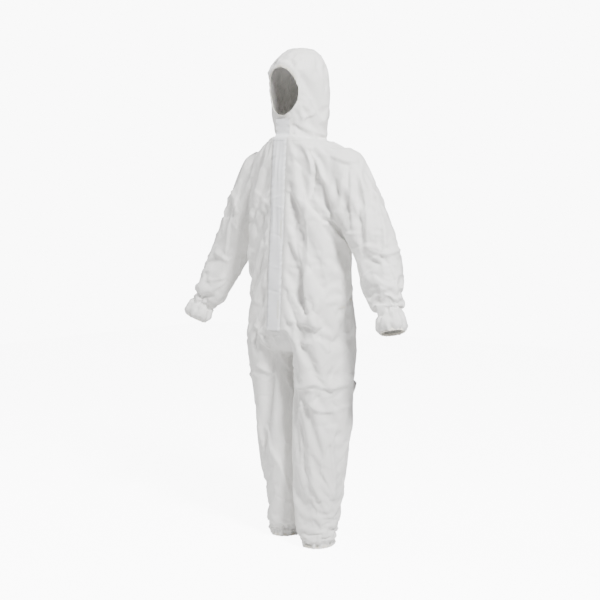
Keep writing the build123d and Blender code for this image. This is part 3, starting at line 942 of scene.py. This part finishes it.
def flatGrid(heights, columns, depthAt):
    half = flapSettings["halfWidth"]
    points = []
    for height in heights:
        for c in range(columns):
            x = -half + 2 * half * c / (columns - 1)
            points.append((x, depthAt(x, height), up(height)))
    points = np.array(points)
    faces = gridFaces(len(heights), columns, closedAcross=False)
    grid = meshObject("grid", points, faces)
    normals = pointsOf(grid, "normal").copy()
    bpy.data.objects.remove(grid)
    if normals[:, 1].mean() > 0:
        normals, faces = -normals, [tuple(reversed(f)) for f in faces]
    return points, faces, normals


columns = flapSettings["columns"]
heights = np.linspace(flapSettings["top"], flapSettings["bottom"], flapSettings["rows"])
points, faces, normals = flatGrid(heights, columns, lambda x, h: -(frontAt(h) + flapLift(x, h)))
pieces["stormFlap"] = walled("stormFlap", points, faces, normals, flapSettings["thickness"])

heights = np.linspace(flapSettings["chinTop"], flapSettings["top"] + 0.0008, flapSettings["chinRows"])
hoodFront = {}
for row, height in enumerate(heights):
    hits = [skinTree.ray_cast(Vector((x, -0.6, up(height))), axisY)[0] for x in (-0.028, -0.014, 0, 0.014, 0.028)]
    hoodFront[float(height)] = min([p.y for p in hits if p] or [-frontAt(height)])
levels = np.array([hoodFront[float(h)] for h in heights])
for _ in range(6):
    levels[1:-1] = (levels[:-2] + levels[1:-1] + levels[2:]) / 3
hoodFront = dict(zip([float(h) for h in heights], levels))


def chinDepth(x, height):
    low = float(smoothStep((height - flapSettings["top"]) / 0.020))
    body = -(frontAt(height) + flapLift(x, height))
    onHood = hoodFront[float(height)] - 0.0045 + 0.16 * x * x / 0.01 * 0.10
    onHood -= 0.0012 * math.cos(height * 260 + x * 50) * math.exp(-abs(abs(x) - 0.03) / 0.008)
    return min(body, onHood) * low + body * (1 - low) if onHood < body else body * (1 - low) + onHood * low


points, faces, normals = flatGrid(heights, columns, chinDepth)
pieces["chinFlap"] = walled("chinFlap", points, faces, normals, flapSettings["thickness"])
for name in ("stormFlap", "chinFlap"):
    paint(pieces[name], "flapCloth")


# ---- sewn seams: a low overlocked ridge along each seam line
seamSettings = {"halfWidth": 0.0017, "rise": 0.0008}


def seamRidge(name, casts, closed=False):
    spots = []
    for start, direction in casts:
        hit, normal, _, _ = skinTree.ray_cast(Vector(start), Vector(direction))
        if hit:
            spots.append((hit, normal))
    count, profile = len(spots), 8
    rows = []
    for i, (spot, normal) in enumerate(spots):
        before = spots[i - 1][0] if i or closed else spot
        after = spots[(i + 1) % count][0] if i < count - 1 or closed else spot
        side = (after - before).normalized().cross(normal).normalized()
        stitch = 1 + 0.18 * math.cos(i * 2.1)
        for j in range(profile):
            angle = 2 * math.pi * j / profile
            rows.append(spot + side * (math.cos(angle) * seamSettings["halfWidth"])
                        + normal * (math.sin(angle) * seamSettings["rise"] * stitch))
    faces = gridFaces(count, profile, True, closed)
    if not closed:
        faces += [tuple(range(profile)), tuple(range((count - 1) * profile, count * profile))]
    piece = meshObject(name, rows, faces)
    faceOutwards(piece)
    piece.data.polygons.foreach_set("use_smooth", [True] * len(piece.data.polygons))
    paint(piece, "suitCloth")
    pieces[name] = piece


def turned(first, last, count):
    return [math.radians(first + (last - first) * i / count) for i in range(count + 1)]


seamRidge("neckSeam", [((0, -0.01, 0.0), (math.sin(a), -math.cos(a), 0)) for a in turned(17, 343, 200)])
for sideName, sign in sides.items():
    title = sideName.capitalize()
    origin = (hoodStrip * sign, 0, up(1.62))
    seamRidge("hoodSeam" + title, [(origin, (0, -math.cos(a), math.sin(a))) for a in turned(37, 238, 190)])
    origin = (0.2695 * sign, -0.004, up(1.211))
    seamRidge("dropSeam" + title, [(origin, (0.522 * sign * math.cos(a), math.sin(a), 0.853 * math.cos(a)))
                                   for a in turned(0, 358, 170)], True)
seamRidge("centreBackSeam", [((0, 0, up(1.456 - 0.0035 * i)), (0, 1, 0)) for i in range(196)])
print("flaps and seams made")


# ---- zip: a row of moulded teeth on each tape, drawn as one small shape repeated down the front line
toothSettings = {"pitch": 0.0024, "count": 268, "top": 1.446, "size": (0.0026, 0.0022, 0.0013)}


def toothRow(name, sign):
    frontLine = Vector((0, -bodyShape["frontLean"], -1)).normalized()
    bpy.ops.object.select_all(action="DESELECT")
    height = toothSettings["top"] - (0.0012 if sign < 0 else 0)
    at = (0.0011 * sign, -frontAt(height) + 0.0036, up(height))
    bpy.ops.mesh.primitive_cube_add(size=1, location=at)
    tooth = bpy.context.view_layer.objects.active
    tooth.name = name
    bpy.ops.object.mode_set(mode="EDIT")
    bpy.ops.mesh.select_all(action="SELECT")
    bpy.ops.transform.resize(value=toothSettings["size"], center_override=at)
    bpy.ops.mesh.bevel(offset=0.0003, segments=1)
    bpy.ops.object.mode_set(mode="OBJECT")
    chooseOnly(tooth)
    bpy.ops.object.transform_apply(location=True, rotation=True, scale=True)
    step = frontLine * toothSettings["pitch"]
    applied(tooth, "ARRAY", count=toothSettings["count"], use_relative_offset=False,
            use_constant_offset=True, constant_offset_displace=step)
    paint(tooth, "zipTeeth")
    pieces[name] = tooth


for sideName, sign in sides.items():
    toothRow("zipToothRow" + sideName.capitalize(), sign)


# ---- neck label: a folded tape loop that hangs inside the back of the neck
labelSettings = {"halfWidth": 0.010, "top": 1.453, "length": 0.030, "depth": 0.0765, "thick": 0.0005}
rows, loop = [], 14
for i in range(loop * 2 + 1):
    t = i / (loop * 2)
    drop = labelSettings["length"] * (1 - abs(2 * t - 1))
    gap = 0.0030 * math.sin(math.pi * t) ** 2 + 0.0012 * t
    for c in range(9):
        x = labelSettings["halfWidth"] * (c / 4 - 1)
        rows.append((x, labelSettings["depth"] - gap - 0.0025 * (x / 0.01) ** 2 * drop / 0.03,
                     up(labelSettings["top"]) - drop))
points, faces = np.array(rows), gridFaces(loop * 2 + 1, 9, closedAcross=False)
grid = meshObject("grid", points, faces)
normals = pointsOf(grid, "normal").copy()
bpy.data.objects.remove(grid)
pieces["neckLabel"] = walled("neckLabel", points, faces, normals, labelSettings["thick"])
paint(pieces["neckLabel"], "labelTape")
print("zip and label made")


# ---- which CAD solids each piece stands for, and how it moves
stands = {
    "hoodNeck": ["hood_neck"], "hoodChin": ["hood_chin"], "hoodCentre": ["hood_centre"],
    "faceElastic": ["face_elastic"], "waistElastic": ["waist_elastic"], "stormFlap": ["storm_flap"],
    "chinFlap": ["chin_flap"], "neckLabel": ["neck_label"],
}
for sideName in sides:
    title = sideName.capitalize()
    for piece, nodes in (
        ("hood", ["hood_"]), ("frontPanel", ["front_panel_"]), ("backPanel", ["back_panel_"]),
        ("shoulder", ["shoulder_"]), ("upperSleeve", ["upper_sleeve_"]),
        ("lowerSleeve", ["elbow_", "lower_sleeve_"]), ("sleeveCuff", ["sleeve_cuff_"]),
        ("wristElastic", ["wrist_elastic_"]), ("upperLeg", ["seat_", "thigh_"]),
        ("lowerLeg", ["knee_", "shin_"]), ("ankleCuff", ["ankle_cuff_"]), ("ankleElastic", ["ankle_elastic_"]),
    ):
        stands[piece + title] = [node + sideName for node in nodes]
for name, nodes in stands.items():
    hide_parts(*nodes)

for name in ("hoodChin", "hoodCentre", "faceElastic", "hoodLeft", "hoodRight"):
    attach(pieces[name], "hood")
for name in ("frontPanelLeft", "frontPanelRight", "backPanelLeft", "backPanelRight", "waistElastic", "neckLabel",
             "neckSeam", "centreBackSeam", "zipToothRowLeft", "zipToothRowRight"):
    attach(pieces[name], "body")
for name in ("hoodNeck", "chinFlap", "hoodSeamLeft", "hoodSeamRight"):
    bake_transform(pieces[name])
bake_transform(pieces["stormFlap"])
for sideName, sign in sides.items():
    title = sideName.capitalize()
    for name in ("shoulder", "upperSleeve", "dropSeam"):
        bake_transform(pieces[name + title])
    at, outward = lifted((0.258, 0, 1.075), sign), Vector((0.467 * sign, 0, -0.884))
    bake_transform(pieces["lowerSleeve" + title])
    for name in ("sleeveCuff", "wristElastic"):
        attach(pieces[name + title], "forearm_" + sideName)
    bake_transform(pieces["upperLeg" + title])
    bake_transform(pieces["lowerLeg" + title])
    for name in ("ankleCuff", "ankleElastic"):
        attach(pieces[name + title], "shin_" + sideName)

# the CAD solids that stay shown
nodeFinish = {
    "zip_tape_left": "zipTape", "zip_tape_right": "zipTape", "zip_teeth_left": "zipTape",
    "zip_teeth_right": "zipTape", "zip_top_stops": "zipTeeth", "zip_bottom_stop": "zipTeeth",
    "zip_slider": "sliderMetal", "pull_tab": "sliderMetal", "flap_adhesive": "adhesive",
    "release_liner": "linerPaper",
}
for name, finish in nodeFinish.items():
    paint(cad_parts[name], finish)


# ---- the cut of each cloth piece before it was sewn: width and length in metres, and flat area
cutSizes = {
    "hoodNeck": (0.70, 0.075, 0.048, "gathered", ["backPanelLeft", "backPanelRight"]),
    "hoodChin": (0.085, 0.050, 0.0036, "hung", ["hoodNeck"]),
    "hoodCentre": (0.10, 0.52, 0.040, "draped", ["hoodNeck"]),
    "stormFlap": (0.060, 0.669, None, "hung", ["frontPanelRight"]),
    "chinFlap": (0.060, 0.078, None, "hung", ["hoodNeck"]),
    "neckLabel": (0.020, 0.062, None, "folded", ["hoodNeck"]),
}
pairedSizes = {
    "hood": (0.24, 0.36, 0.058, "draped", ["hoodNeck"]),
    "frontPanel": (0.32, 0.72, 0.185, "hung", ["hoodNeck"]),
    "backPanel": (0.31, 0.72, 0.172, "hung", ["hoodNeck"]),
    "shoulder": (0.48, 0.24, 0.060, "hung", ["frontPanel", "backPanel"]),
    "upperSleeve": (0.52, 0.21, 0.056, "hung", ["shoulder"]),
    "lowerSleeve": (0.52, 0.34, 0.126, "hung", ["upperSleeve"]),
    "sleeveCuff": (0.34, 0.055, 0.0165, "gathered", ["wristElastic"]),
    "upperLeg": (0.66, 0.26, 0.146, "hung", ["frontPanel", "backPanel"]),
    "lowerLeg": (0.62, 0.52, 0.290, "hung", ["upperLeg"]),
    "ankleCuff": (0.55, 0.115, 0.055, "gathered", ["ankleElastic"]),
}
for sideName in sides:
    title = sideName.capitalize()
    for name, (width, length, area, held, on) in pairedSizes.items():
        on = [rest if rest == "hoodNeck" else rest + title for rest in on]
        cutSizes[name + title] = (width, length, area, held, on)
for name, (width, length, area, held, on) in cutSizes.items():
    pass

# ---- studio
studio = {"ambient": 0.11, "backdrop": 12.0, "floorGlow": 9.0}
floor = meshObject("floor", [(-6, -6, 0), (6, -6, 0), (6, 6, 0), (-6, 6, 0)], [(0, 1, 2, 3)])
floor.data.transform(Matrix.Translation((0, 0, up(-0.002))))
materials["floorWhite"] = nodeMaterial("floorWhite", {
    "roughness": 0.9, "specular": 0.1, "blotchScale": 1, "darker": (0.90, 0.90, 0.90), "paler": (0.91, 0.91, 0.91),
    "grains": [{"kind": "noise", "scale": 40, "strength": 0.02, "depth": 0.001}],
})
tree = materials["floorWhite"].node_tree
glow, pathKind = tree.nodes.new("ShaderNodeEmission"), tree.nodes.new("ShaderNodeLightPath")
dark, seen = tree.nodes.new("ShaderNodeEmission"), tree.nodes.new("ShaderNodeMixShader")
total = tree.nodes.new("ShaderNodeAddShader")
glow.inputs["Strength"].default_value = studio["floorGlow"]
dark.inputs["Strength"].default_value = 0
tree.links.new(pathKind.outputs["Is Camera Ray"], seen.inputs["Fac"])
tree.links.new(dark.outputs["Emission"], seen.inputs[1])
tree.links.new(glow.outputs["Emission"], seen.inputs[2])
tree.links.new(seen.outputs["Shader"], total.inputs[0])
tree.links.new(tree.nodes["Principled BSDF"].outputs["BSDF"], total.inputs[1])
tree.links.new(total.outputs["Shader"], tree.nodes["Material Output"].inputs["Surface"])
paint(floor, "floorWhite")
world = bpy.data.worlds.new("studio")
world.use_nodes = True
tree = world.node_tree
ambient = tree.nodes["Background"]
ambient.inputs["Color"].default_value = (0.95, 0.97, 1.0, 1)
ambient.inputs["Strength"].default_value = studio["ambient"]
backdrop = tree.nodes.new("ShaderNodeBackground")
backdrop.inputs["Strength"].default_value = studio["backdrop"]
pathKind = tree.nodes.new("ShaderNodeLightPath")
choice = tree.nodes.new("ShaderNodeMixShader")
tree.links.new(pathKind.outputs["Is Camera Ray"], choice.inputs["Fac"])
tree.links.new(ambient.outputs["Background"], choice.inputs[1])
tree.links.new(backdrop.outputs["Background"], choice.inputs[2])
tree.links.new(choice.outputs["Shader"], tree.nodes["World Output"].inputs["Surface"])
bpy.context.scene.world = world
lamps = {
    "key": {"at": (2.7, -1.3, 2.5), "aim": (0, 0, -0.5), "size": 0.7, "power": 470},
    "side": {"at": (-2.9, -1.6, 0.7), "aim": (0, 0, -0.6), "size": 0.8, "power": 90},
}
for name, settings in lamps.items():
    light = bpy.data.lights.new(name, "AREA")
    light.energy, light.size = settings["power"], settings["size"]
    lamp = bpy.data.objects.new(name, light)
    lamp.location = settings["at"]
    lamp.rotation_euler = (Vector(settings["aim"]) - Vector(settings["at"])).to_track_quat("-Z", "Y").to_euler()
    bpy.context.collection.objects.link(lamp)
camera = bpy.data.cameras.new("camera")
camera.lens, camera.sensor_width = 65.7, 36
camera.shift_x = -0.005
view = bpy.data.objects.new("camera", camera)
bearing = math.radians(38)
view.location = (math.sin(bearing) * 4, -math.cos(bearing) * 4, -0.26)
view.rotation_euler = (math.radians(90 - 4.45), 0, bearing)
bpy.context.collection.objects.link(view)
bpy.context.scene.camera = view
